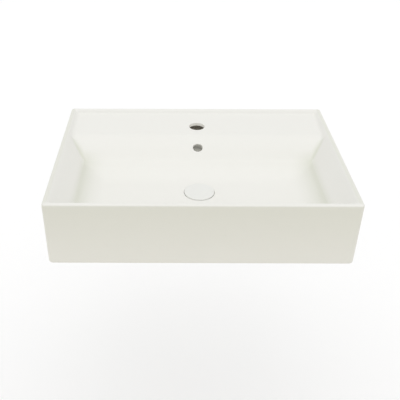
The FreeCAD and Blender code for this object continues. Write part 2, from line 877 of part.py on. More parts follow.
def make_wall_fixings(side, name):
    """Hanger bolt, plastic sleeve, washer and nut on one side."""
    place = {"sideways": side * size("fixing_spacing") / 2}
    stud_radius = size("stud_radius")
    pad_face = -size("fixing_pad_reach")
    stud = new_body(f"wall_stud_{name}", **place)
    in_wall = size("stud_in_wall")
    reach = -size("stud_reach")
    turned(
        stud,
        "bolt",
        [
            (0, reach),
            (stud_radius - 1, reach),
            (stud_radius, reach + 1),
            (stud_radius, -2),
            (stud_radius - 0.6, -1.5),
            (stud_radius - 0.6, 1.5),
            (stud_radius, 2),
            (stud_radius, in_wall - 9),
            (0.8, in_wall),
            (0, in_wall),
        ],
        "XY_Plane",
    )
    sleeve = new_body(f"stud_sleeve_{name}", **place)
    collar = pad_face - 3
    sleeve_outer = size("fixing_hole_radius") - 0.2
    turned(
        sleeve,
        "collar",
        [
            (stud_radius + 0.1, -1),
            (sleeve_outer, -1),
            (sleeve_outer, pad_face),
            (size("sleeve_flange"), pad_face),
            (size("sleeve_flange"), collar),
            (stud_radius + 0.1, collar),
        ],
        "XY_Plane",
    )
    washer = new_body(f"fixing_washer_{name}", **place)
    washer_face = collar - size("washer_thickness")
    turned(
        washer,
        "disc",
        [
            (stud_radius + 0.3, collar),
            (size("washer_radius"), collar),
            (size("washer_radius"), washer_face),
            (stud_radius + 0.3, washer_face),
        ],
        "XY_Plane",
    )
    nut = new_body(f"fixing_nut_{name}", **place)
    plan = new_sketch(nut, "plan", "XZ_Plane", level=-washer_face)
    half_corner = size("nut_across_flats") / (2 * math.cos(math.radians(30)))
    corners = [math.radians(60 * i) for i in range(6)]
    outline(plan, [(half_corner * math.cos(a), half_corner * math.sin(a)) for a in corners])
    circle(plan, stud_radius + 0.05)
    pad(nut, "hexagon", plan, size("nut_height"))
    return [stud, sleeve, washer, nut]


# ---------------------------------------------------------------- the whole object

casting = make_casting()
add_overflow_hole(casting)
add_fixing_holes(casting)
finish_basin_edges(casting)
doc.recompute()
pieces = [split_at_creases(casting), make_waste_body(), make_latch_spring()]
pieces += make_rings() + make_cover() + make_latch()
pieces += make_wall_fixings(-1, "left") + make_wall_fixings(1, "right")
doc.recompute()

for item in doc.Objects:
    if "Invalid" in item.State or "Error" in item.State:
        raise RuntimeError(f"{item.Name} did not build: {item.State}")
for piece in pieces:
    if piece.Shape.isNull() or not piece.Shape.isValid():
        raise RuntimeError(f"{piece.Label} has no valid shape")

os.makedirs("parts", exist_ok=True)
for piece in pieces:
    piece.Shape.exportStep(f"parts/{piece.Label}.step")
    print(f"{piece.Label}: {len(piece.Shape.Solids)} solid, {piece.Shape.Volume / 1000:.1f} cm3")
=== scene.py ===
import math
import bmesh
import bpy
from mathutils import Matrix, Vector


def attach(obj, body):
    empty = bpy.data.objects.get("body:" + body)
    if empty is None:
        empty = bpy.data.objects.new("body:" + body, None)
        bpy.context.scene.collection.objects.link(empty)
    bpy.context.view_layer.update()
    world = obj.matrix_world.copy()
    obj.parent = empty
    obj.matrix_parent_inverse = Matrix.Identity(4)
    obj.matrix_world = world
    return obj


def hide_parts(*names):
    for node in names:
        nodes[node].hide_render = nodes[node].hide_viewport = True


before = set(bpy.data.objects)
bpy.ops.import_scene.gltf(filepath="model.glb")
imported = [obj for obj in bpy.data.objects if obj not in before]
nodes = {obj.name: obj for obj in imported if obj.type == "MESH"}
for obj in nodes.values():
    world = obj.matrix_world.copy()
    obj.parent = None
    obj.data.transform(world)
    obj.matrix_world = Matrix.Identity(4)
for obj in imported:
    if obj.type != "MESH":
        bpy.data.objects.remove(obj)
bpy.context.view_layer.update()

# ---------------------------------------------------------------- room, camera and light
# A plain pale room: a white floor at the depth where it lies under a hung basin, a white sky that
# only the camera and the reflections see at full strength, one high lamp and two at the front.
floor_level = -0.78
floor_reach = 14.0
camera_place = Vector((-0.059, -1.340, 0.692))
camera_pitch = math.radians(33.55)
camera_roll = math.radians(0.19)
camera_lens = 54.27
camera_shift = 0.072
sky_light = 0.595
high_lamp = 0.72
front_lamp = 0.40
front_turn = 60
front_height = 50
lamp_softness = math.radians(85)
floor_bounce = (0.92, 0.895, 0.81, 1)
floor_white = (0.99, 0.99, 0.99, 1)


def link_piece(mesh, name):
    """A new object for the mesh, in the scene."""
    piece = bpy.data.objects.new(name, mesh)
    bpy.context.scene.collection.objects.link(piece)
    return piece


def new_material(name):
    """A material with its node tree and its shader."""
    material = bpy.data.materials.new(name)
    material.use_nodes = True
    return material, material.node_tree, material.node_tree.nodes["Principled BSDF"]


def bright_to_the_eye(tree, light):
    """A mask of 1 for camera, glossy and transmission rays, to feed a strength or a mix."""
    path = tree.nodes.new("ShaderNodeLightPath")
    seen = path.outputs["Is Camera Ray"]
    for ray in ("Is Glossy Ray", "Is Transmission Ray"):
        more = tree.nodes.new("ShaderNodeMath")
        more.operation = "MAXIMUM"
        tree.links.new(seen, more.inputs[0])
        tree.links.new(path.outputs[ray], more.inputs[1])
        seen = more.outputs[0]
    reach = tree.nodes.new("ShaderNodeMapRange")
    reach.inputs["To Min"].default_value = light
    reach.inputs["To Max"].default_value = 1.0
    tree.links.new(seen, reach.inputs["Value"])
    return reach.outputs["Result"]


scene = bpy.context.scene
scene.view_settings.view_transform = "Standard"
scene.world = bpy.data.worlds.new("studio_sky")
scene.world.use_nodes = True
sky = scene.world.node_tree
sky_shader = sky.nodes["Background"]
sky_shader.inputs["Color"].default_value = (1, 1, 1, 1)
sky.links.new(bright_to_the_eye(sky, sky_light), sky_shader.inputs["Strength"])

lens = bpy.data.cameras.new("camera")
lens.lens = camera_lens
lens.sensor_width = 36
lens.shift_x = camera_shift
camera = bpy.data.objects.new("camera", lens)
scene.collection.objects.link(camera)
forward = Vector((0, math.cos(camera_pitch), -math.sin(camera_pitch)))
level_right = Vector((1, 0, 0))
level_up = level_right.cross(forward)
right = level_right * math.cos(camera_roll) + level_up * math.sin(camera_roll)
up = level_up * math.cos(camera_roll) - level_right * math.sin(camera_roll)
camera_turn = Matrix((right, up, -forward)).transposed().to_4x4()
camera_turn.translation = camera_place
camera.matrix_world = camera_turn
scene.camera = camera

for lamp_name, strength, azimuth, height in (("high", high_lamp, 0, 90),
                                             ("front_left", front_lamp, -front_turn, front_height),
                                             ("front_right", front_lamp, front_turn, front_height)):
    lamp = bpy.data.lights.new(f"lamp_{lamp_name}", "SUN")
    lamp.energy = strength
    lamp.angle = lamp_softness
    holder = bpy.data.objects.new(f"lamp_{lamp_name}", lamp)
    scene.collection.objects.link(holder)
    side = math.radians(azimuth)
    rise = math.radians(height)
    level_reach = math.cos(rise)
    source = Vector((math.sin(side) * level_reach, -math.cos(side) * level_reach, math.sin(rise)))
    holder.rotation_euler = source.to_track_quat("Z", "Y").to_euler()

floor_mesh = bpy.data.meshes.new("studio_floor")
sheet = bmesh.new()
bmesh.ops.create_grid(sheet, x_segments=1, y_segments=1, size=floor_reach)
bmesh.ops.translate(sheet, vec=(0, 0, floor_level), verts=sheet.verts)
sheet.to_mesh(floor_mesh)
sheet.free()
floor = link_piece(floor_mesh, "studio_floor")
floor_paint, tree, shader = new_material("studio_floor_paint")
floor_tone = tree.nodes.new("ShaderNodeMix")
floor_tone.data_type = "RGBA"
floor_tone.inputs["A"].default_value = floor_bounce
floor_tone.inputs["B"].default_value = floor_white
tree.links.new(bright_to_the_eye(tree, 0.0), floor_tone.inputs["Factor"])
tree.links.new(floor_tone.outputs["Result"], shader.inputs["Base Color"])
shader.inputs["Roughness"].default_value = 0.9
shader.inputs["Specular IOR Level"].default_value = 0.0
floor_mesh.materials.append(floor_paint)

# ---------------------------------------------------------------- the casting
# One slip-cast basin of vitreous china, in mm: a shallow tray with a thin rim, a tap ledge, a
# dished bowl and an upright skirt, open below. It is glazed where it shows and bare at the wall,
# foot and underside.
half_width = 300.0
basin_depth = 420.0
rim_level = 70.0
foot_level = -70.0
corner_round = 7.5
rim_round = 4.3
foot_round = 6.0
wall = 9.0
ledge_drop = 10.5
ledge_fall = 3.5
ledge_front = 134.0
ledge_roll = 20.0
side_slope = 0.866
back_slope = 1.25
crease_drop = 47.0
drain_drop = 66.0
dish_reach = 74.0
dish_power = 2.5
dish_most = 1.6
crease_fillet = 3.5
fillet_growth = 0.12
rim_slope = 0.75
rim_blend = 4.0
back_blend = 3.0
front_blend = 6.0
floor_blend = 5.0
underside_level = 51.0
underside_blend = 6.0
drain_y = -272.0
duct_half = 24.0
duct_edge = 3.0
duct_start = -114.0
duct_top = 31.0
duct_slope = 0.875
duct_foot = -48.0
boss_radius = 41.0
boss_foot = -52.0


def soft_min(a, b, blend):
    """The lower of two heights, rounded where they are within blend of each other."""
    overlap = max(blend - abs(a - b), 0.0) / blend
    return min(a, b) - overlap * overlap * blend * 0.25


def soft_max(a, b, blend):
    """The higher of two heights, rounded in the same way."""
    return -soft_min(-a, -b, blend)


def dish_rise(distance):
    """How much of the dish's rise is reached at this distance inside the floor's outline."""
    return max(0.0, 1 - distance / dish_reach) ** dish_power if distance > 0 else 1.0


def bowl_drop(x, y):
    """Depth of the inside below the rim: sides, front, ledge with back slope, and dished floor."""
    inner = half_width - wall
    side_drop = (inner - abs(x)) / side_slope
    front_drop = (y + basin_depth - wall) / side_slope
    back_edge = (-wall - y) / rim_slope
    slope = ledge_drop + (-ledge_front - y) / back_slope
    ledge = ledge_drop - ledge_fall * (1 + y / ledge_front) if y > -ledge_front else ledge_drop
    back_drop = soft_min(soft_max(ledge, slope, ledge_roll), back_edge, back_blend)
    floor_half = inner - crease_drop * side_slope
    floor_back = -ledge_front - (crease_drop - ledge_drop) * back_slope
    floor_front = -basin_depth + wall + crease_drop * side_slope
    rises = (dish_rise(floor_half - abs(x)), dish_rise(floor_back - y), dish_rise(y - floor_front))
    rise = sum(part ** 3 for part in rises) ** (1 / 3)
    floor_drop = drain_drop - (drain_drop - crease_drop) * min(rise, dish_most)
    fillet = crease_fillet + fillet_growth * max(0.0, min(side_drop, back_drop))
    drop = soft_min(side_drop, back_drop, fillet)
    drop = soft_min(drop, front_drop, front_blend)
    drop = soft_min(drop, floor_drop, floor_blend)
    return soft_max(0.0, drop, rim_blend) if drop > -rim_blend else 0.0


def edge_distance(x, y):
    """Distance in from the basin's outline, seen from above."""
    across = half_width - abs(x)
    along = min(-y, basin_depth + y)
    if across < corner_round and along < corner_round:
        return corner_round - math.hypot(corner_round - across, corner_round - along)
    return min(across, along)


def top_level(x, y):
    """Height of the glazed top: the rounded outer edge, the rim and all that lies inside it."""
    edge = edge_distance(x, y)
    if edge < rim_round:
        return rim_level - rim_round + math.sqrt(max(0.0, rim_round ** 2 - (rim_round - edge) ** 2))
    return rim_level - bowl_drop(x, y)


def under_level(x, y):
    """Underside of the ledge, bowl and duct: one wall's thickness below the top, square to it."""
    drop = bowl_drop(x, y)
    across = bowl_drop(x + 1, y) - bowl_drop(x - 1, y)
    along = bowl_drop(x, y + 1) - bowl_drop(x, y - 1)
    tilt = math.hypot(across, along) / 2
    square = wall * math.hypot(1, tilt)
    level = soft_min(underside_level, rim_level - drop - square, underside_blend)
    if drain_y < y < duct_start and abs(x) < duct_half + duct_edge:
        duct = max(duct_foot, duct_top + (y - duct_start) * duct_slope)
        share = min(1.0, max(0.0, (duct_half + duct_edge - abs(x)) / duct_edge))
        level = level + (min(level, duct) - level) * share
    return level


def graded(marks):
    """Lines through marks of (place, step on to the next mark). The last mark's step isn't used."""
    lines = []
    for (start, step), (end, _) in zip(marks, marks[1:]):
        count = max(1, round((end - start) / step))
        lines += [start + (end - start) * n / count for n in range(count)]
    return lines + [marks[-1][0]]


edge_lines = [0, 0.17, 0.67, 1.44, 2.42, 3.5, 4.7, 6]
edge_reach = 75
slope_reach = 200
near_edge = edge_lines[:-1] + graded([(6, 0.75), (13, 2.6), (edge_reach, 0)])
half_lines = graded([(0, 4), (60, 5), (half_width - edge_reach, 0)])
half_lines = half_lines[:-1] + [half_width - place for place in reversed(near_edge)]
plan_x = sorted({-place for place in half_lines} | set(half_lines))
back_lines = edge_lines[:-1] + graded([(6, 0.75), (15, 4), (115, 2.5), (slope_reach, 0)])[:-1]
middle_lines = graded([(slope_reach, 4), (basin_depth - edge_reach, 0)])[:-1]
front_lines = [basin_depth - place for place in reversed(near_edge)]
plan_y = [-place for place in reversed(back_lines + middle_lines + front_lines)]
columns = len(plan_x)
rows = len(plan_y)


def rounded_corner(x, y):
    """Draws the square grid's corners in to the basin's rounded corners."""
    across = (abs(x) - (half_width - corner_round)) / corner_round
    middle = -basin_depth / 2
    straight = basin_depth / 2 - corner_round
    along = (abs(y - middle) - straight) / corner_round
    if across <= 0 or along <= 0:
        return x, y
    new_across = across * math.sqrt(1 - along ** 2 / 2)
    new_along = along * math.sqrt(1 - across ** 2 / 2)
    new_x = math.copysign(half_width - corner_round + corner_round * new_across, x)
    new_y = middle + math.copysign(straight + corner_round * new_along, y - middle)
    return new_x, new_y


def drawn_in(place, old, new, level):
    """A point of the outline drawn in by old, moved to where the outline is drawn in by new."""
    middle = basin_depth / 2
    across = (half_width - new) / (half_width - old)
    along = (middle - new) / (middle - old)
    return Vector((place.x * across, (place.y + middle) * along - middle, level))


def lay_sheet(casting, draw_in, level_at):
    """A grid over the basin's plan with the given height. Returns its points by column and row."""
    made = bmesh.ops.create_grid(casting, x_segments=columns - 1, y_segments=rows - 1, size=0.5)
    table = {}
    for point in made["verts"]:
        column = round((point.co.x + 0.5) * (columns - 1))
        row = round((point.co.y + 0.5) * (rows - 1))
        x, y = rounded_corner(plan_x[column], plan_y[row])
        place = drawn_in(Vector((x, y, 0)), 0, draw_in, 0)
        point.co = (place.x, place.y, level_at(place.x, place.y))
        table[column, row] = point
    return table


def line_drawn_to(y):
    """The plan line that the drawn-in lower sheet carries to y."""
    middle = basin_depth / 2
    return (y + middle) * middle / (middle - wall) - middle


def border(table, low_column, high_column, low_row, high_row):
    """The edges round a rectangle of the grid."""
    ring = []
    for column in range(low_column, high_column):
        for row in (low_row, high_row):
            ring.append((table[column, row], table[column + 1, row]))
    for row in range(low_row, high_row):
        for column in (low_column, high_column):
            ring.append((table[column, row], table[column, row + 1]))
    return [next(edge for edge in a.link_edges if edge.other_vert(a) is b) for a, b in ring]


def open_patch(casting, table, centre_x, centre_y, reach):
    """Takes out the faces round a hole, and returns the edges left round the gap."""
    near_x = [n for n, x in enumerate(plan_x) if abs(x - centre_x) <= reach + 0.01]
    near_y = [n for n, y in enumerate(plan_y) if abs(y - centre_y) <= reach + 0.01]
    low_column, high_column, low_row, high_row = near_x[0], near_x[-1], near_y[0], near_y[-1]
    inside = set()
    for column in range(low_column + 1, high_column):
        for row in range(low_row + 1, high_row):
            inside.update(table[column, row].link_faces)
    ring = border(table, low_column, high_column, low_row, high_row)
    bmesh.ops.delete(casting, geom=list(inside), context="FACES")
    return ring


def pull_ring(casting, ring, place):
    """Extrudes a ring of edges and puts each new point where place says."""
    made = bmesh.ops.extrude_edge_only(casting, edges=ring)["geom"]
    points = {item for item in made if isinstance(item, bmesh.types.BMVert)}
    for point in points:
        point.co = place(point.co.copy())
    return [item for item in made
            if isinstance(item, bmesh.types.BMEdge) and set(item.verts) <= points]


def bore(casting, ring, centre, tilt, steps, surface=None, squash=1.0):
    """Draws a ring to circles round a tilted axis, in steps of (radius, depth), with a squash."""
    along = Vector((0, math.cos(tilt), math.sin(tilt)))
    inward = Vector((0, math.sin(tilt), -math.cos(tilt)))
    for radius, depth in steps:
        def place(old, radius=radius, depth=depth):
            turn = math.atan2((old - centre).dot(along) / squash, old.x - centre.x)
            rise = radius * squash * math.sin(turn)
            new = centre + Vector((1, 0, 0)) * (radius * math.cos(turn)) + along * rise
            if surface:
                new.z = surface(new.x, new.y)
            return new + inward * depth
        ring = pull_ring(casting, ring, place)
    return ring


def rolled_edge(radius, roll):
    """The rounded lip of a hole in glazed clay."""
    turns = [math.radians(angle) for angle in (0, 22.5, 45, 67.5, 90)]
    return [(radius + roll * (1 - math.sin(turn)), roll * (1 - math.cos(turn))) for turn in turns]


casting = bmesh.new()
top = lay_sheet(casting, 0, top_level)
under = lay_sheet(casting, wall, under_level)


def ring_at(level):
    """Puts a ring's points at a level, straight above or below where they are."""
    return lambda old: Vector((old.x, old.y, level))


def ring_drawn_in(was, new, level):
    """Puts a ring's points at a level and draws them in from one distance to another."""
    return lambda old: drawn_in(old, was, new, level)


# Skirt: down the outside, round the foot and up the inside to the underside's edge.
foot_turns = [math.radians(angle) for angle in (22.5, 45, 67.5, 90)]
foot_steps = [(foot_round * (1 - math.cos(turn)), foot_level + foot_round * (1 - math.sin(turn)))
              for turn in foot_turns]
foot_steps += [(8.0, foot_level), (8.7, foot_level + 0.3), (wall, foot_level + 1)]
skirt_ring = border(top, 0, columns - 1, 0, rows - 1)
levels = graded([(foot_level + foot_round, 8.9), (-30, 5), (30, 9), (rim_level - rim_round, 0)])
for level in reversed(levels[:-1]):
    skirt_ring = pull_ring(casting, skirt_ring, ring_at(level))
drawn = 0.0
for new, level in foot_steps:
    skirt_ring = pull_ring(casting, skirt_ring, ring_drawn_in(drawn, new, level))
    drawn = new
inner_levels = [level for level in levels[1:] if level < underside_level - 8]
for level in inner_levels + [underside_level - 4]:
    skirt_ring = pull_ring(casting, skirt_ring, ring_at(level))
bmesh.ops.bridge_loops(casting, edges=skirt_ring + border(under, 0, columns - 1, 0, rows - 1))

# Tap hole, straight through the ledge.
tap_y = -78.0
tap_radius = 17.5
tap_lip = 1.2
tap_patch = 25
lower_patch_more = 4
tap_centre = Vector((0, tap_y, rim_level - ledge_drop))
tap_top = open_patch(casting, top, 0, tap_y, tap_patch)
tap_top = bore(casting, tap_top, tap_centre, 0,
               [(tap_radius + 4, 0)] + rolled_edge(tap_radius, tap_lip), top_level)
tap_top = bore(casting, tap_top, tap_centre, 0,
               [(tap_radius, 3), (tap_radius, 5.4), (tap_radius + 1.4, 6.4)])
tap_under = open_patch(casting, under, 0, line_drawn_to(tap_y), tap_patch + lower_patch_more)
tap_under = bore(casting, tap_under, tap_centre, 0,
                 [(tap_radius + 3.9, 0), (tap_radius + 2.9, 0)], under_level)
bmesh.ops.bridge_loops(casting, edges=tap_top + tap_under)

# Overflow hole, square to the back slope, into the duct behind it.
overflow_y = -151.7
overflow_radius = 10.7
overflow_squash = 0.93
overflow_lip = 1.5
overflow_patch = 17.5
duct_radius = 14.2
overflow_tilt = math.atan(1 / back_slope)
overflow_centre = Vector((0, overflow_y, top_level(0, overflow_y)))
overflow = open_patch(casting, top, 0, overflow_y, overflow_patch)
overflow = bore(casting, overflow, overflow_centre, overflow_tilt,
                [(overflow_radius + 2.6, 0)] + rolled_edge(overflow_radius, overflow_lip),
                top_level, overflow_squash)
overflow = bore(casting, overflow, overflow_centre, overflow_tilt,
                [(overflow_radius, depth) for depth in (4.5, 8, 11.5)]
                + [(duct_radius, depth) for depth in (12.5, 16, 20)] + [(13, 23)],
                None, overflow_squash)
bmesh.ops.edgeloop_fill(casting, edges=overflow)

# Drain: a recess for cover and flange, the bore, the chamber the overflow runs to, and the boss.
recess_radius = 32.1
recess_foot = 31.75
recess_level = -3.5
recess_lip = 0.9
drain_bore = 23.0
chamber_radius = 31.0
chamber_top = -22.0
chamber_low = -42.0
drain_patch = 54
drain_centre = Vector((0, drain_y, 0))


def boss_ring(radius, fall):
    """Puts a ring's points on a circle round the drain, this far below the bowl's underside."""
    def place(old):
        turn = math.atan2(old.y - drain_y, old.x)
        x, y = radius * math.cos(turn), drain_y + radius * math.sin(turn)
        return Vector((x, y, max(under_level(x, y) - fall, boss_foot + 3)))
    return place


drain_top = open_patch(casting, top, 0, drain_y, drain_patch)
drain_top = bore(casting, drain_top, drain_centre, 0,
                 [(46, 0), (38, 0)] + rolled_edge(recess_radius, recess_lip), top_level)
for radius, level in ((recess_foot, 0), (recess_foot, recess_level + 0.4), (31.4, recess_level),
                      (24, recess_level), (drain_bore, recess_level - 1), (drain_bore, chamber_top),
                      (chamber_radius, chamber_top - 0.2), (chamber_radius, chamber_low),
                      (drain_bore, chamber_low - 0.2)):
    drain_top = bore(casting, drain_top, drain_centre, 0, [(radius, -level)])
drain_under = open_patch(casting, under, 0, line_drawn_to(drain_y), drain_patch + lower_patch_more)
for radius, fall in ((49, 0), (46.5, 0.6), (44, 2.2), (42, 5.0), (boss_radius, 8.5)):
    drain_under = pull_ring(casting, drain_under, boss_ring(radius, fall))
for radius, level in ((boss_radius, boss_foot + 2.5), (40.3, boss_foot + 0.7), (38.5, boss_foot),
                      (24, boss_foot), (drain_bore, boss_foot + 1)):
    drain_under = bore(casting, drain_under, drain_centre, 0, [(radius, -level)])
bmesh.ops.bridge_loops(casting, edges=drain_top + drain_under)

# Fixing holes through the wall plate, each with a pad on the inside for the washer.
fixing_x = 140.0
fixing_radius = 8.0
pad_radius = 20.0
pad_reach = 20.0
wall_patch = 25.2
pad_patch_x = 145


def open_wall_patch(casting, centre_x, level_y, narrow):
    """Takes out the wall plate's faces round a fixing hole, and returns the edges round the gap."""
    inside = [face for face in casting.faces
              if all(abs(point.co.y - level_y) < 0.2 and abs(point.co.z) < wall_patch
                     and abs(point.co.x / narrow - centre_x) < wall_patch for point in face.verts)]
    rim = {}
    for face in inside:
        for edge in face.edges:
            rim[edge] = rim.get(edge, 0) + 1
    ring = [edge for edge, count in rim.items() if count == 1]
    bmesh.ops.delete(casting, geom=inside, context="FACES")
    return ring


def wall_circle(centre_x, radius, y):
    """Puts a ring's points on a circle that lies parallel to the wall."""
    def place(old):
        turn = math.atan2(old.z, old.x - centre_x)
        return Vector((centre_x + radius * math.cos(turn), y, radius * math.sin(turn)))
    return place


narrow = (half_width - wall) / half_width
for side in (-1, 1):
    centre_x = side * fixing_x
    hole = open_wall_patch(casting, centre_x, 0, 1)
    for radius, y in ((14, 0), (9.2, 0), (fixing_radius, -1), (fixing_radius, -10),
                      (fixing_radius, -19), (9, -pad_reach), (18.5, -pad_reach)):
        hole = pull_ring(casting, hole, wall_circle(centre_x, radius, y))
    pad = open_wall_patch(casting, side * pad_patch_x, -wall, narrow)
    for radius, y in ((23.5, -wall), (21.4, -9.7), (20.3, -11.2), (pad_radius, -13),
                      (pad_radius, -18.6), (19.6, -19.6)):
        pad = pull_ring(casting, pad, wall_circle(centre_x, radius, y))
    bmesh.ops.bridge_loops(casting, edges=hole + pad)

bmesh.ops.remove_doubles(casting, verts=casting.verts, dist=0.0005)
bmesh.ops.recalc_face_normals(casting, faces=casting.faces)

# Marks for the looks: painted shade in the creases and toward the top of the outer faces, a darker
# tone on the flats of the side rims, and painted shade on the bare clay in the pocket under the
# ledge.
# Painted shade: the outer faces darken toward the rim.
outer_shade_to_top = 0.5
side_rim_tone = 0.55
side_rim_width = 11
side_rim_height = 8
# Strength and reach of the painted shade in the creases.
corner_shade_strength = 1.2
corner_reach_side = 9.0
corner_reach_slope = 16.0
floor_shade_reach = 52.0
wall_shade_reach = 12.0
front_shade_reach = 50.0
# Where the painted shade of the pocket under the ledge begins and ends.
pocket_front = -150
pocket_low = -62
pocket_half = 285


def eased(share):
    """A smooth step from 0 to 1, flat at both ends."""
    share = min(1.0, max(0.0, share))
    return share * share * (3 - 2 * share)


def crease_closeness(x, y):
    """Painted shade: 1 or more in the creases where side walls meet back slope and floor, fading
    out to 0.
    """
    side_drop = (half_width - wall - abs(x)) / side_slope
    back_drop = ledge_drop + (-ledge_front - y) / back_slope
    if side_drop < 0 or back_drop < ledge_drop:
        return 0.0
    corner = min(side_drop, back_drop)
    crease_corner_shade = 0.0
    if corner < crease_drop:
        reach = corner_reach_side if side_drop < back_drop else corner_reach_slope
        gap = abs(side_drop - back_drop) / reach
        growth = min(1.0, 0.45 + (corner - ledge_drop) / 30)
        crease_corner_shade = corner_shade_strength * max(0.0, 1 - gap) ** 1.4 * growth
    inside = half_width - wall - crease_drop * side_slope - abs(x)
    fade = inside / floor_shade_reach if inside > 0 else -inside / wall_shade_reach
    from_back = min(1.0, max(0.0, (back_drop - 0.6 * crease_drop) / (0.4 * crease_drop)))
    from_front = min(1.0, max(0.0, (y + basin_depth - wall) / front_shade_reach))
    side_crease_shade = max(0.0, 1 - fade) ** 2 * from_back * from_front
    return max(crease_corner_shade, side_crease_shade)


def side_rim_closeness(place):
    """How much a point belongs to the flat of a side rim, which is made a little darker."""
    across = eased((abs(place.x) - half_width + side_rim_width) / 4)
    upward = eased((place.z - rim_level + side_rim_height) / 3)
    from_front = eased((place.y + basin_depth - 3) / 9)
    return side_rim_tone * across * upward * from_front


def pocket_shade_amount(place):
    """How much painted shade darkens the bare clay in the pocket behind the bowl, up to 1 under the
    tap ledge.
    """
    if place.z > top_level(place.x, place.y) - 6:
        return 0.0
    backward = eased((place.y - pocket_front) / 60)
    upward = eased((place.z - pocket_low) / 100)
    return backward * upward * eased((pocket_half - abs(place.x)) / 90)


# Per point: painted shade toward the top of the outer faces and in the creases, a darker tone on
# the side rims' flats, and painted shade in the pocket under the ledge.
rim_tone_and_shade_layer = casting.verts.layers.float.new("painted_shade_and_rim_tone")
pocket_shade_layer = casting.verts.layers.float.new("painted_pocket_shade")
for point in casting.verts:
    if edge_distance(point.co.x, point.co.y) < 0.5:
        # painted shade, darker toward the top of the outer faces
        point[rim_tone_and_shade_layer] = outer_shade_to_top * (point.co.z - foot_level) / (rim_level - foot_level)
    else:
        crease = crease_closeness(point.co.x, point.co.y)
        point[rim_tone_and_shade_layer] = max(side_rim_closeness(point.co), crease)
        # painted shade in the pocket under the ledge
        point[pocket_shade_layer] = pocket_shade_amount(point.co)

# Which faces are bare clay: the wall side, the foot, and the inside of the skirt but not the holes.
for face in casting.faces:
    x, y, z = face.calc_center_median()
    bare_wall = y > -0.3 and face.normal.y > 0.9
    bare_foot = z < foot_level + 1.2 and face.normal.z < -0.6
    inside_skirt = edge_distance(x, y) > wall - 0.7 and z < top_level(x, y) - 7
    in_hole = math.hypot(x, y - tap_y) < tap_radius + 0.3
    in_duct = abs(x) < 17 and -175 < y < -125 and z > under_level(x, y) + 3
    glazed_hole = in_hole or in_duct
    face.material_index = int(bare_wall or bare_foot or (inside_skirt and not glazed_hole))
    face.smooth = True
bmesh.ops.scale(casting, vec=(0.001, 0.001, 0.001), verts=casting.verts)
basin_mesh = bpy.data.meshes.new("basin_casting")
casting.to_mesh(basin_mesh)
casting.free()
basin_mesh.set_sharp_from_angle(angle=math.radians(40))
basin = link_piece(basin_mesh, "basin_casting")


def new_group(name, inputs):
    """A node group with these inputs and the outputs of every surface here, and its two ends."""
    group = bpy.data.node_groups.new(name, "ShaderNodeTree")
    for socket, kind, value in inputs:
        made = group.interface.new_socket(socket, in_out="INPUT", socket_type=f"NodeSocket{kind}")
        made.default_value = value
    for socket, kind in (("Colour", "Color"), ("Roughness", "Float"), ("Height", "Float")):
        group.interface.new_socket(socket, in_out="OUTPUT", socket_type=f"NodeSocket{kind}")
    return group, group.nodes.new("NodeGroupInput"), group.nodes.new("NodeGroupOutput")


def tinted(group, start, end, cloud):
    """Lets colour and roughness follow a noise between the group's inputs. Returns the colour."""
    tint = group.nodes.new("ShaderNodeMix")
    tint.data_type = "RGBA"
    group.links.new(cloud.outputs["Fac"], tint.inputs["Factor"])
    group.links.new(start.outputs["Pale"], tint.inputs["A"])
    group.links.new(start.outputs["Deep"], tint.inputs["B"])
    rough = group.nodes.new("ShaderNodeMapRange")
    group.links.new(cloud.outputs["Fac"], rough.inputs["Value"])
    group.links.new(start.outputs["Smooth"], rough.inputs["To Min"])
    group.links.new(start.outputs["Rough"], rough.inputs["To Max"])
    group.links.new(rough.outputs["Result"], end.inputs["Roughness"])
    return tint.outputs["Result"]


def clay_group():
    """Slow tint, fine grain and small pits of fired clay and its glaze, on object coordinates."""
    group, start, end = new_group("fired_surface", (
        ("Pale", "Color", (1, 1, 1, 1)), ("Deep", "Color", (1, 1, 1, 1)),
        ("Cloud Scale", "Float", 8), ("Grain Scale", "Float", 400), ("Pit Scale", "Float", 60),
        ("Pit Amount", "Float", 0.1), ("Smooth", "Float", 0.2), ("Rough", "Float", 0.3)))
    place = group.nodes.new("ShaderNodeTexCoord").outputs["Object"]
    cloud = group.nodes.new("ShaderNodeTexNoise")
    cloud.inputs["Detail"].default_value = 3
    grain = group.nodes.new("ShaderNodeTexNoise")
    grain.inputs["Detail"].default_value = 4
    pits = group.nodes.new("ShaderNodeTexVoronoi")
    for texture, scale in ((cloud, "Cloud Scale"), (grain, "Grain Scale"), (pits, "Pit Scale")):
        group.links.new(place, texture.inputs["Vector"])
        group.links.new(start.outputs[scale], texture.inputs["Scale"])
    pit = group.nodes.new("ShaderNodeMapRange")
    for socket, value in (("From Min", 0.02), ("From Max", 0.07), ("To Min", 1), ("To Max", 0)):
        pit.inputs[socket].default_value = value
    group.links.new(pits.outputs["Distance"], pit.inputs["Value"])
    pit_depth = group.nodes.new("ShaderNodeMath")
    pit_depth.operation = "MULTIPLY"
    group.links.new(pit.outputs["Result"], pit_depth.inputs[0])
    group.links.new(start.outputs["Pit Amount"], pit_depth.inputs[1])
    speck = group.nodes.new("ShaderNodeMix")
    speck.data_type = "RGBA"
    speck.blend_type = "MULTIPLY"
    speck.inputs["B"].default_value = (0.80, 0.76, 0.70, 1)
    group.links.new(pit_depth.outputs[0], speck.inputs["Factor"])
    group.links.new(tinted(group, start, end, cloud), speck.inputs["A"])
    group.links.new(speck.outputs["Result"], end.inputs["Colour"])
    height = group.nodes.new("ShaderNodeMath")
    height.operation = "SUBTRACT"
    group.links.new(grain.outputs["Fac"], height.inputs[0])
    group.links.new(pit_depth.outputs[0], height.inputs[1])
    group.links.new(height.outputs[0], end.inputs["Height"])
    return group


fired_surface = clay_group()


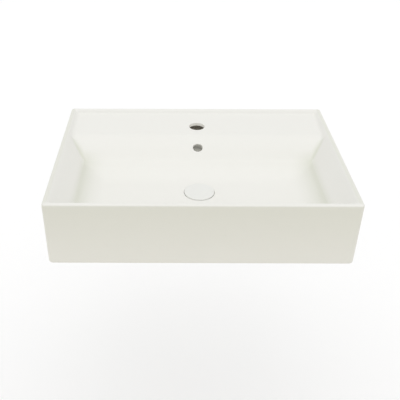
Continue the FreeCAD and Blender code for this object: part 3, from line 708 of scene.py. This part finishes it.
def surfaced_material(name, group, values, bump, metallic):
    """A material on a surface group with these inputs; the group's height is bump in metres."""
    material, tree, shader = new_material(name)
    surface = tree.nodes.new("ShaderNodeGroup")
    surface.node_tree = group
    for socket, value in values.items():
        surface.inputs[socket].default_value = value
    relief = tree.nodes.new("ShaderNodeBump")
    relief.inputs["Strength"].default_value = 1.0
    relief.inputs["Distance"].default_value = bump
    tree.links.new(surface.outputs["Height"], relief.inputs["Height"])
    tree.links.new(relief.outputs["Normal"], shader.inputs["Normal"])
    tree.links.new(surface.outputs["Colour"], shader.inputs["Base Color"])
    tree.links.new(surface.outputs["Roughness"], shader.inputs["Roughness"])
    shader.inputs["Metallic"].default_value = metallic
    return material


def grained_material(name, pale, deep, scales, pits, roughness, bump, metallic=0.0):
    """A material on the fired surface group; scales are per metre, for cloud, grain and pits."""
    values = {"Pale": (*pale, 1), "Deep": (*deep, 1), "Cloud Scale": scales[0],
              "Grain Scale": scales[1], "Pit Scale": scales[2], "Pit Amount": pits,
              "Smooth": roughness[0], "Rough": roughness[1]}
    return surfaced_material(name, fired_surface, values, bump, metallic)


def deepen(material, mark_name, deep):
    """Multiplies a material's colour by a deeper tone where the casting carries the named mark."""
    tree = material.node_tree
    shader = tree.nodes["Principled BSDF"]
    own_colour = shader.inputs["Base Color"].links[0].from_socket
    mark = tree.nodes.new("ShaderNodeAttribute")
    mark.attribute_name = mark_name
    darkened_colour = tree.nodes.new("ShaderNodeMix")
    darkened_colour.data_type = "RGBA"
    darkened_colour.blend_type = "MULTIPLY"
    darkened_colour.inputs["B"].default_value = (*deep, 1)
    tree.links.new(mark.outputs["Fac"], darkened_colour.inputs["Factor"])
    tree.links.new(own_colour, darkened_colour.inputs["A"])
    tree.links.new(darkened_colour.outputs["Result"], shader.inputs["Base Color"])


glaze = grained_material("white_glaze", (0.835, 0.83, 0.79), (0.82, 0.815, 0.77), (7, 260, 45),
                         0.2, (0.27, 0.36), 0.00004)
# Painted shade: the glaze colour is darkened in the creases and toward the top of the outer faces;
# the side rims' flats are a little darker.
deepen(glaze, "painted_shade_and_rim_tone", (0.845, 0.86, 0.80))
bare_clay = grained_material("bare_fired_clay", (0.80, 0.775, 0.715), (0.74, 0.71, 0.65),
                             (14, 900, 160), 1.0, (0.78, 0.92), 0.00025)
# Painted shade: the bare clay turns near black deep in the pocket under the tap ledge, where shade
# falls.
deepen(bare_clay, "painted_pocket_shade", (0.13, 0.122, 0.11))
basin_mesh.materials.append(glaze)
basin_mesh.materials.append(bare_clay)
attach(basin, "basin")
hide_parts("basin_body")

# ---------------------------------------------------------------- waste cover
# The loose white cap over the waste: a pressed and fired disc with a slight crown and a rounded
# edge, glued to the brass carrier below it, so it rides up and down with the plunger.
cover_radius = 31.6
cover_low = 2.8
cover_high = 7.0
cover_roll = 1.9
cover_foot_roll = 0.7
crown_fall = 0.55
crown_reach = 30


def spun_piece(name, centre, outline, steps=96, angle=40, shape=None, along_wall=False):
    """A closed outline of (radius, level) in mm spun round an axis through centre, upright or
    square to the wall. The shape call works on the spun mesh before it is put in place."""
    piece = bmesh.new()
    corners = [piece.verts.new((radius, 0, level)) for radius, level in outline]
    edges = [piece.edges.new((a, b)) for a, b in zip(corners, corners[1:] + corners[:1])
             if not (a.co.x == 0 and b.co.x == 0)]
    bmesh.ops.spin(piece, geom=corners + edges, cent=(0, 0, 0), axis=(0, 0, 1), angle=math.tau,
                   steps=steps, use_merge=True)
    bmesh.ops.remove_doubles(piece, verts=piece.verts, dist=0.0005)
    bmesh.ops.recalc_face_normals(piece, faces=piece.faces)
    if shape:
        shape(piece)
    if along_wall:
        bmesh.ops.rotate(piece, cent=(0, 0, 0), matrix=Matrix.Rotation(math.radians(-90), 3, "X"),
                         verts=piece.verts)
    bmesh.ops.scale(piece, vec=(0.001, 0.001, 0.001), verts=piece.verts)
    bmesh.ops.translate(piece, vec=Vector(centre) * 0.001, verts=piece.verts)
    for face in piece.faces:
        face.smooth = True
    mesh = bpy.data.meshes.new(name)
    piece.to_mesh(mesh)
    piece.free()
    mesh.set_sharp_from_angle(angle=math.radians(angle))
    return link_piece(mesh, name)


def arc(centre_radius, centre_level, radius, start, end, count=5):
    """Points of an arc in the outline's plane, from start to end in degrees."""
    turns = [math.radians(start + (end - start) * n / count) for n in range(count + 1)]
    return [(centre_radius + radius * math.cos(turn), centre_level + radius * math.sin(turn))
            for turn in turns]


cover_outline = [(radius, cover_high - crown_fall * (radius / crown_reach) ** 2)
                 for radius in (0, 5, 10, 15, 20, 25, 29)]
cover_outline += arc(cover_radius - cover_roll, cover_high - 2.5, cover_roll, 75, 0, 6)
cover_outline += arc(cover_radius - cover_foot_roll, cover_low + cover_foot_roll, cover_foot_roll,
                     0, -90, 3)
cover_outline += [(0, cover_low)]
cover = spun_piece("waste_cover_cap", (0, drain_y, 0), cover_outline, 128)
cover_glaze = grained_material("cover_glaze", (0.80, 0.805, 0.775), (0.785, 0.79, 0.755),
                               (22, 300, 70), 0.5, (0.26, 0.34), 0.00003)
cover.data.materials.append(cover_glaze)
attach(cover, "cover")
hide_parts("waste_cover")

# ---------------------------------------------------------------- waste body
# Turned brass tube under a chrome finish: a dished flange in the recess, a neck, a pipe thread down
# to the tail with a relief groove, two overflow slots, and a four-armed bridge for the latch.
waste_top = 0.0
flange_radius = 31.5
flange_under = -2.0
neck_radius = 22.4
thread_radius = 20.95
thread_pitch = 2.31
thread_depth = 1.3
thread_top = -38.0
groove_top = -70.1
groove_low = -71.1
groove_radius = 20.35
tube_radius = 18.5
inside_tube_wall = 19.6
tail_level = -92.0
slot_top = -24.0
slot_low = -37.0
slot_columns = 10
waste_steps = 72
hub_bore = 8.0
hub_radius = 12.0
hub_low = -19.0
hub_high = -11.0
hub_chamfer = 0.3
arm_size = (7.4, 3, 8)
arm_place = (15.2, 0, -15)
arm_count = 4


def rows_between(radius, start, end, step):
    """Evenly spaced outline points at one radius, with both ends."""
    count = max(1, round(abs(end - start) / step))
    return [(radius, start + (end - start) * n / count) for n in range(count + 1)]


def cut_thread(radius, low, high, pitch, depth, run_out=2.0):
    """A helical groove pressed into a round surface between two levels, fading out at both ends."""
    def cut(piece):
        for point in piece.verts:
            across = math.hypot(point.co.x, point.co.y)
            if abs(across - radius) > 0.02 or not low <= point.co.z <= high:
                continue
            turn = math.atan2(point.co.y, point.co.x) / math.tau
            phase = (point.co.z / pitch - turn) % 1
            ridge = min(1.0, max(0.0, 1.25 - 2.5 * abs(phase - 0.5)))
            ends = min(1.0, (point.co.z - low) / run_out, (high - point.co.z) / run_out)
            new = radius - depth * (1 - ridge) * max(0.0, ends)
            point.co.x *= new / across
            point.co.y *= new / across
    return cut


def cut_slots(piece):
    """Two windows through the tube's wall, front and back, joined from outside to inside."""
    half = slot_columns / 2 * 360 / waste_steps + 0.1
    for facing in (90, -90):
        sides = {True: [], False: []}
        for face in piece.faces:
            middle = face.calc_center_median()
            away = abs((math.degrees(math.atan2(middle.y, middle.x)) - facing + 180) % 360 - 180)
            across = math.hypot(middle.x, middle.y)
            if away < half and slot_low < middle.z < slot_top and across > tube_radius - 1:
                sides[across > inside_tube_wall].append(face)
        loops = []
        for faces in sides.values():
            count = {}
            for face in faces:
                for edge in face.edges:
                    count[edge] = count.get(edge, 0) + 1
            loops += [edge for edge, uses in count.items() if uses == 1]
        bmesh.ops.delete(piece, geom=sides[True] + sides[False], context="FACES")
        bmesh.ops.bridge_loops(piece, edges=[edge for edge in loops if edge.is_valid])


def shape_waste(piece):
    """Cuts the slots and both lengths of thread, and sets the bridge's hub and arms in the tube."""
    cut_slots(piece)
    for low, high in ((groove_top - 0.1, thread_top), (tail_level + 1, groove_low - 0.2)):
        cut_thread(thread_radius, low, high, thread_pitch, thread_depth)(piece)
    hub_outline = [(hub_bore + hub_chamfer, hub_low), (hub_radius - hub_chamfer, hub_low),
                   (hub_radius, hub_low + hub_chamfer), (hub_radius, hub_high - hub_chamfer),
                   (hub_radius - hub_chamfer, hub_high), (hub_bore + hub_chamfer, hub_high),
                   (hub_bore, hub_high - hub_chamfer), (hub_bore, hub_low + hub_chamfer)]
    hub = [piece.verts.new((radius, 0, level)) for radius, level in hub_outline]
    rim = [piece.edges.new(pair) for pair in zip(hub, hub[1:] + hub[:1])]
    bmesh.ops.spin(piece, geom=hub + rim, cent=(0, 0, 0), axis=(0, 0, 1), angle=math.tau, steps=48,
                   use_merge=True)
    for count in range(arm_count):
        arm = bmesh.ops.create_cube(piece, size=1)["verts"]
        bmesh.ops.scale(piece, vec=arm_size, verts=arm)
        edges = list({edge for point in arm for edge in point.link_edges})
        arm = bmesh.ops.bevel(piece, geom=edges, offset=0.5, offset_type="OFFSET", segments=2,
                              profile=0.5, affect="EDGES", material=-1)["verts"]
        bmesh.ops.translate(piece, vec=arm_place, verts=arm)
        turn = Matrix.Rotation(math.tau * count / arm_count, 3, "Z")
        bmesh.ops.rotate(piece, cent=(0, 0, 0), matrix=turn, verts=arm)
    bmesh.ops.remove_doubles(piece, verts=piece.verts, dist=0.0005)
    bmesh.ops.recalc_face_normals(piece, faces=piece.faces)


thread_rows = thread_pitch / 6
waste_outline = [(24.9, waste_top - 0.1), (25.5, waste_top), (30.6, waste_top), (31.2, -0.15),
                 (flange_radius, -0.6), (flange_radius, flange_under + 0.3), (31.2, flange_under),
                 (neck_radius, flange_under), (neck_radius, -8), (thread_radius, -9.5),
                 (thread_radius, slot_top), (thread_radius, slot_low)]
waste_outline += rows_between(thread_radius, thread_top, -70, thread_rows)
waste_outline += [(groove_radius, groove_top), (groove_radius, groove_low)]
waste_outline += rows_between(thread_radius, -71.2, tail_level + 1, thread_rows)
waste_outline += [(thread_radius - 1, tail_level), (tube_radius + 0.4, tail_level),
                  (tube_radius, tail_level + 0.4), (tube_radius, slot_low), (tube_radius, slot_top),
                  (tube_radius, -7), (20.5, -3), (23.6, -0.6)]
waste = spun_piece("waste_tube", (0, drain_y, 0), waste_outline, waste_steps, 32, shape_waste)


def marks_group():
    """Fine rings left by turning, with smudges, on object coordinates drawn to the piece's axis."""
    group, start, end = new_group("turned_marks", (
        ("Centre", "Vector", (0, 0, 0)), ("Ring Scale", "Float", 900),
        ("Pale", "Color", (1, 1, 1, 1)), ("Deep", "Color", (1, 1, 1, 1)),
        ("Smooth", "Float", 0.1), ("Rough", "Float", 0.3)))
    place = group.nodes.new("ShaderNodeTexCoord").outputs["Object"]
    centred = group.nodes.new("ShaderNodeVectorMath")
    centred.operation = "SUBTRACT"
    group.links.new(place, centred.inputs[0])
    group.links.new(start.outputs["Centre"], centred.inputs[1])
    rings = group.nodes.new("ShaderNodeTexWave")
    rings.wave_type = "RINGS"
    rings.rings_direction = "SPHERICAL"
    rings.inputs["Distortion"].default_value = 1.2
    rings.inputs["Detail Scale"].default_value = 2.0
    group.links.new(centred.outputs["Vector"], rings.inputs["Vector"])
    group.links.new(start.outputs["Ring Scale"], rings.inputs["Scale"])
    smudge = group.nodes.new("ShaderNodeTexNoise")
    smudge.inputs["Scale"].default_value = 60
    smudge.inputs["Detail"].default_value = 4
    group.links.new(place, smudge.inputs["Vector"])
    group.links.new(tinted(group, start, end, smudge), end.inputs["Colour"])
    group.links.new(rings.outputs["Fac"], end.inputs["Height"])
    return group


turned_marks = marks_group()


def turned_material(name, pale, deep, ring_scale, roughness, bump):
    """Turned metal on the turned marks group, centred on the waste's axis."""
    values = {"Centre": (0, drain_y * 0.001, 0), "Ring Scale": ring_scale, "Pale": (*pale, 1),
              "Deep": (*deep, 1), "Smooth": roughness[0], "Rough": roughness[1]}
    return surfaced_material(name, turned_marks, values, bump, 1.0)


chrome = turned_material("chrome_plate", (0.70, 0.71, 0.73), (0.60, 0.61, 0.63), 1600, (0.08, 0.20),
                         0.000004)
waste.data.materials.append(chrome)
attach(waste, "basin")
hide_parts("waste_body")

# ---------------------------------------------------------------- rings under the basin
# What clamps the waste: a moulded rubber cone ring pressed to the boss, a slip washer of white
# plastic that lets the nut turn on it, and the plated hexagon nut with chamfered corners.
seal_under = -58.0
washer_under = -59.5
nut_under = -69.5
backnut_flats = 55.0
clamp_radius = 34.0
ring_bore = thread_radius + 0.3
seal_outline = [(ring_bore, seal_under + 0.4), (ring_bore + 0.4, seal_under)] \
    + arc(clamp_radius - 1.2, seal_under + 1.2, 1.2, -90, 0, 4) \
    + [(clamp_radius - 0.25, -55)] + arc(clamp_radius - 1.0, boss_foot - 1.0, 1.0, 0, 90, 4) \
    + [(22.7, boss_foot), (21.9, boss_foot + 3), (ring_bore, boss_foot + 3)]
lower_seal = spun_piece("rubber_cone_ring", (0, drain_y, 0), seal_outline, 96, 40)
rubber = grained_material("moulded_rubber", (0.030, 0.030, 0.031), (0.045, 0.045, 0.046),
                          (60, 1400, 500), 0.4, (0.55, 0.78), 0.00008)
lower_seal.data.materials.append(rubber)
slip_outline = [(ring_bore, washer_under + 0.2), (ring_bore + 0.2, washer_under)] \
    + arc(clamp_radius - 0.4, washer_under + 0.4, 0.4, -90, 0, 3) \
    + arc(clamp_radius - 0.4, seal_under - 0.4, 0.4, 0, 90, 3) + [(ring_bore, seal_under)]
slip_washer = spun_piece("plastic_slip_ring", (0, drain_y, 0), slip_outline, 96, 40)
plastic = grained_material("moulded_plastic", (0.80, 0.80, 0.78), (0.74, 0.74, 0.72),
                           (45, 1100, 420), 0.25, (0.38, 0.52), 0.00005)
slip_washer.data.materials.append(plastic)


def hexagon(across_flats, beyond):
    """Draws points beyond the bore in to a hexagon, so the round rows leave chamfered corners."""
    def press(piece):
        for point in piece.verts:
            across = math.hypot(point.co.x, point.co.y)
            if across < beyond:
                continue
            turn = math.degrees(math.atan2(point.co.y, point.co.x))
            flat = across_flats / 2 / math.cos(math.radians((turn % 60) - 30))
            reach = min(1.0, flat / across)
            point.co.x *= reach
            point.co.y *= reach
    return press


def nut_outline(bore_radius, low, high, across_flats, chamfer):
    """A nut's outline before its flats are pressed: rounded ends that rise to the corners."""
    corner = across_flats / math.sqrt(3) + 0.05
    face = across_flats / 2 + 0.15
    rises = [(face + (corner - face) * n / 4, chamfer * 1.2 * (n / 4) ** 1.4) for n in (1, 2, 3, 4)]
    outline = [(bore_radius, low + chamfer), (bore_radius + chamfer, low)]
    outline += [(face - 1, low), (face, low)]
    outline += [(radius, low + rise) for radius, rise in rises]
    outline += [(corner, (low + high) / 2)]
    outline += [(radius, high - rise) for radius, rise in reversed(rises)]
    outline += [(face, high), (face - 1, high), (bore_radius + chamfer, high)]
    return outline + [(bore_radius, high - chamfer)]


backnut_outline = nut_outline(thread_radius + 0.05, nut_under, washer_under, backnut_flats, 1.3)
backnut = spun_piece("hexagon_backnut", (0, drain_y, 0), backnut_outline, 96, 30,
                     hexagon(backnut_flats, 24))
backnut.data.materials.append(chrome)
for ring, node, finish in ((lower_seal, "lower_seal", "rubber"),
                           (slip_washer, "slip_washer", "plastic"), (backnut, "backnut", "chrome")):
    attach(ring, "basin")
    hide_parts(node)

# ---------------------------------------------------------------- latch and small rings
# The hidden works of the click-clack latch and its seals: turned brass plate and plunger, moulded
# plastic sleeve, plug and rotor, a drawn steel spring, and two soft rings, assembled before the
# waste is fitted. They keep the shapes that come with the frame and are given their finishes.
brass = turned_material("turned_brass", (0.83, 0.66, 0.36), (0.74, 0.57, 0.29), 2200, (0.20, 0.36),
                        0.000008)
spring_steel = turned_material("drawn_spring_steel", (0.56, 0.56, 0.57), (0.44, 0.44, 0.46),
                               3000, (0.22, 0.38), 0.000004)
for node, material in (("cover_carrier", brass), ("plunger", brass), ("latch_spring", spring_steel),
                       ("cartridge_body", plastic), ("cartridge_cap", plastic),
                       ("latch_rotor", plastic), ("cover_seal", rubber), ("flange_gasket", rubber)):
    for place in nodes[node].material_slots:
        place.material = material

# ---------------------------------------------------------------- wall fixings
# Left and right: a zinc plated hanger bolt with a wood thread in the wall and a machine thread in
# the basin, a moulded sleeve that keeps it off the clay, and a washer and hexagon nut that pull the
# pad to the wall.
stud_radius = 5.0
pad_face = -20.0
collar_face = -23.0
washer_face = -24.6
nut_face = -32.6
stud_end = -42.0
stud_tip = 62.0
machine_end = -3
machine_pitch = 1.5
machine_depth = 0.85
wood_pitch = 3.6
wood_depth = 1.35
wood_end = stud_tip - 9
fixing_flats = 17.0
sleeve_bore = 5.1
sleeve_radius = 7.8
sleeve_flange = 16
disc_bore = 5.3
disc_radius = 13


def shape_stud(piece):
    """Cuts the machine thread inside the basin and the wood thread inside the wall."""
    cut_thread(stud_radius, stud_end + 1, machine_end, machine_pitch, machine_depth, 1.0)(piece)
    cut_thread(stud_radius, 4, wood_end, wood_pitch, wood_depth, 4.0)(piece)


zinc = grained_material("zinc_plate", (0.66, 0.67, 0.67), (0.53, 0.54, 0.56), (120, 2600, 900), 0.5,
                        (0.26, 0.46), 0.00003, metallic=1.0)
stud_outline = [(0, stud_end), (3.6, stud_end), (4.0, stud_end + 0.1)]
stud_outline += rows_between(stud_radius, stud_end + 1, machine_end, 0.27)
stud_outline += [(stud_radius, -2), (4.4, -1.5), (4.4, 1.5)]
stud_outline += rows_between(stud_radius, 2, wood_end, 0.5)
stud_outline += [(4.2, stud_tip - 7.2), (3.0, stud_tip - 4.6), (1.8, stud_tip - 2.1),
                 (0.8, stud_tip - 0.2), (0, stud_tip)]
sleeve_outline = [(sleeve_bore, -1.4), (5.5, -1), (7.4, -1), (sleeve_radius, -1.4),
                  (sleeve_radius, pad_face), (15.6, pad_face), (sleeve_flange, pad_face - 0.4),
                  (sleeve_flange, collar_face + 0.5), (15.5, collar_face), (5.6, collar_face),
                  (sleeve_bore, collar_face + 0.5)]
disc_outline = [(disc_bore, collar_face - 0.2), (5.5, collar_face), (12.7, collar_face),
                (disc_radius, collar_face - 0.3), (disc_radius, washer_face + 0.4),
                (12.6, washer_face), (5.6, washer_face), (disc_bore, washer_face + 0.3)]
fixing_nut_outline = nut_outline(stud_radius + 0.05, nut_face, washer_face, fixing_flats, 0.7)
for hand, sign in (("left", -1), ("right", 1)):
    place = (sign * fixing_x, 0, 0)
    fixings = (
        ("wall_stud", "hanger_bolt", "zinc", zinc, stud_outline, 48, shape_stud),
        ("stud_sleeve", "bolt_sleeve", "plastic", plastic, sleeve_outline, 64, None),
        ("fixing_washer", "flat_washer", "zinc", zinc, disc_outline, 64, None),
        ("fixing_nut", "hexagon_nut", "zinc", zinc, fixing_nut_outline, 72,
         hexagon(fixing_flats, 7)),
    )
    for node, name, finish, material, outline, steps, shape in fixings:
        fixing = spun_piece(f"{name}_{hand}", place, outline, steps, 30, shape, along_wall=True)
        fixing.data.materials.append(material)
        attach(fixing, "basin")
        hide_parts(f"{node}_{hand}")
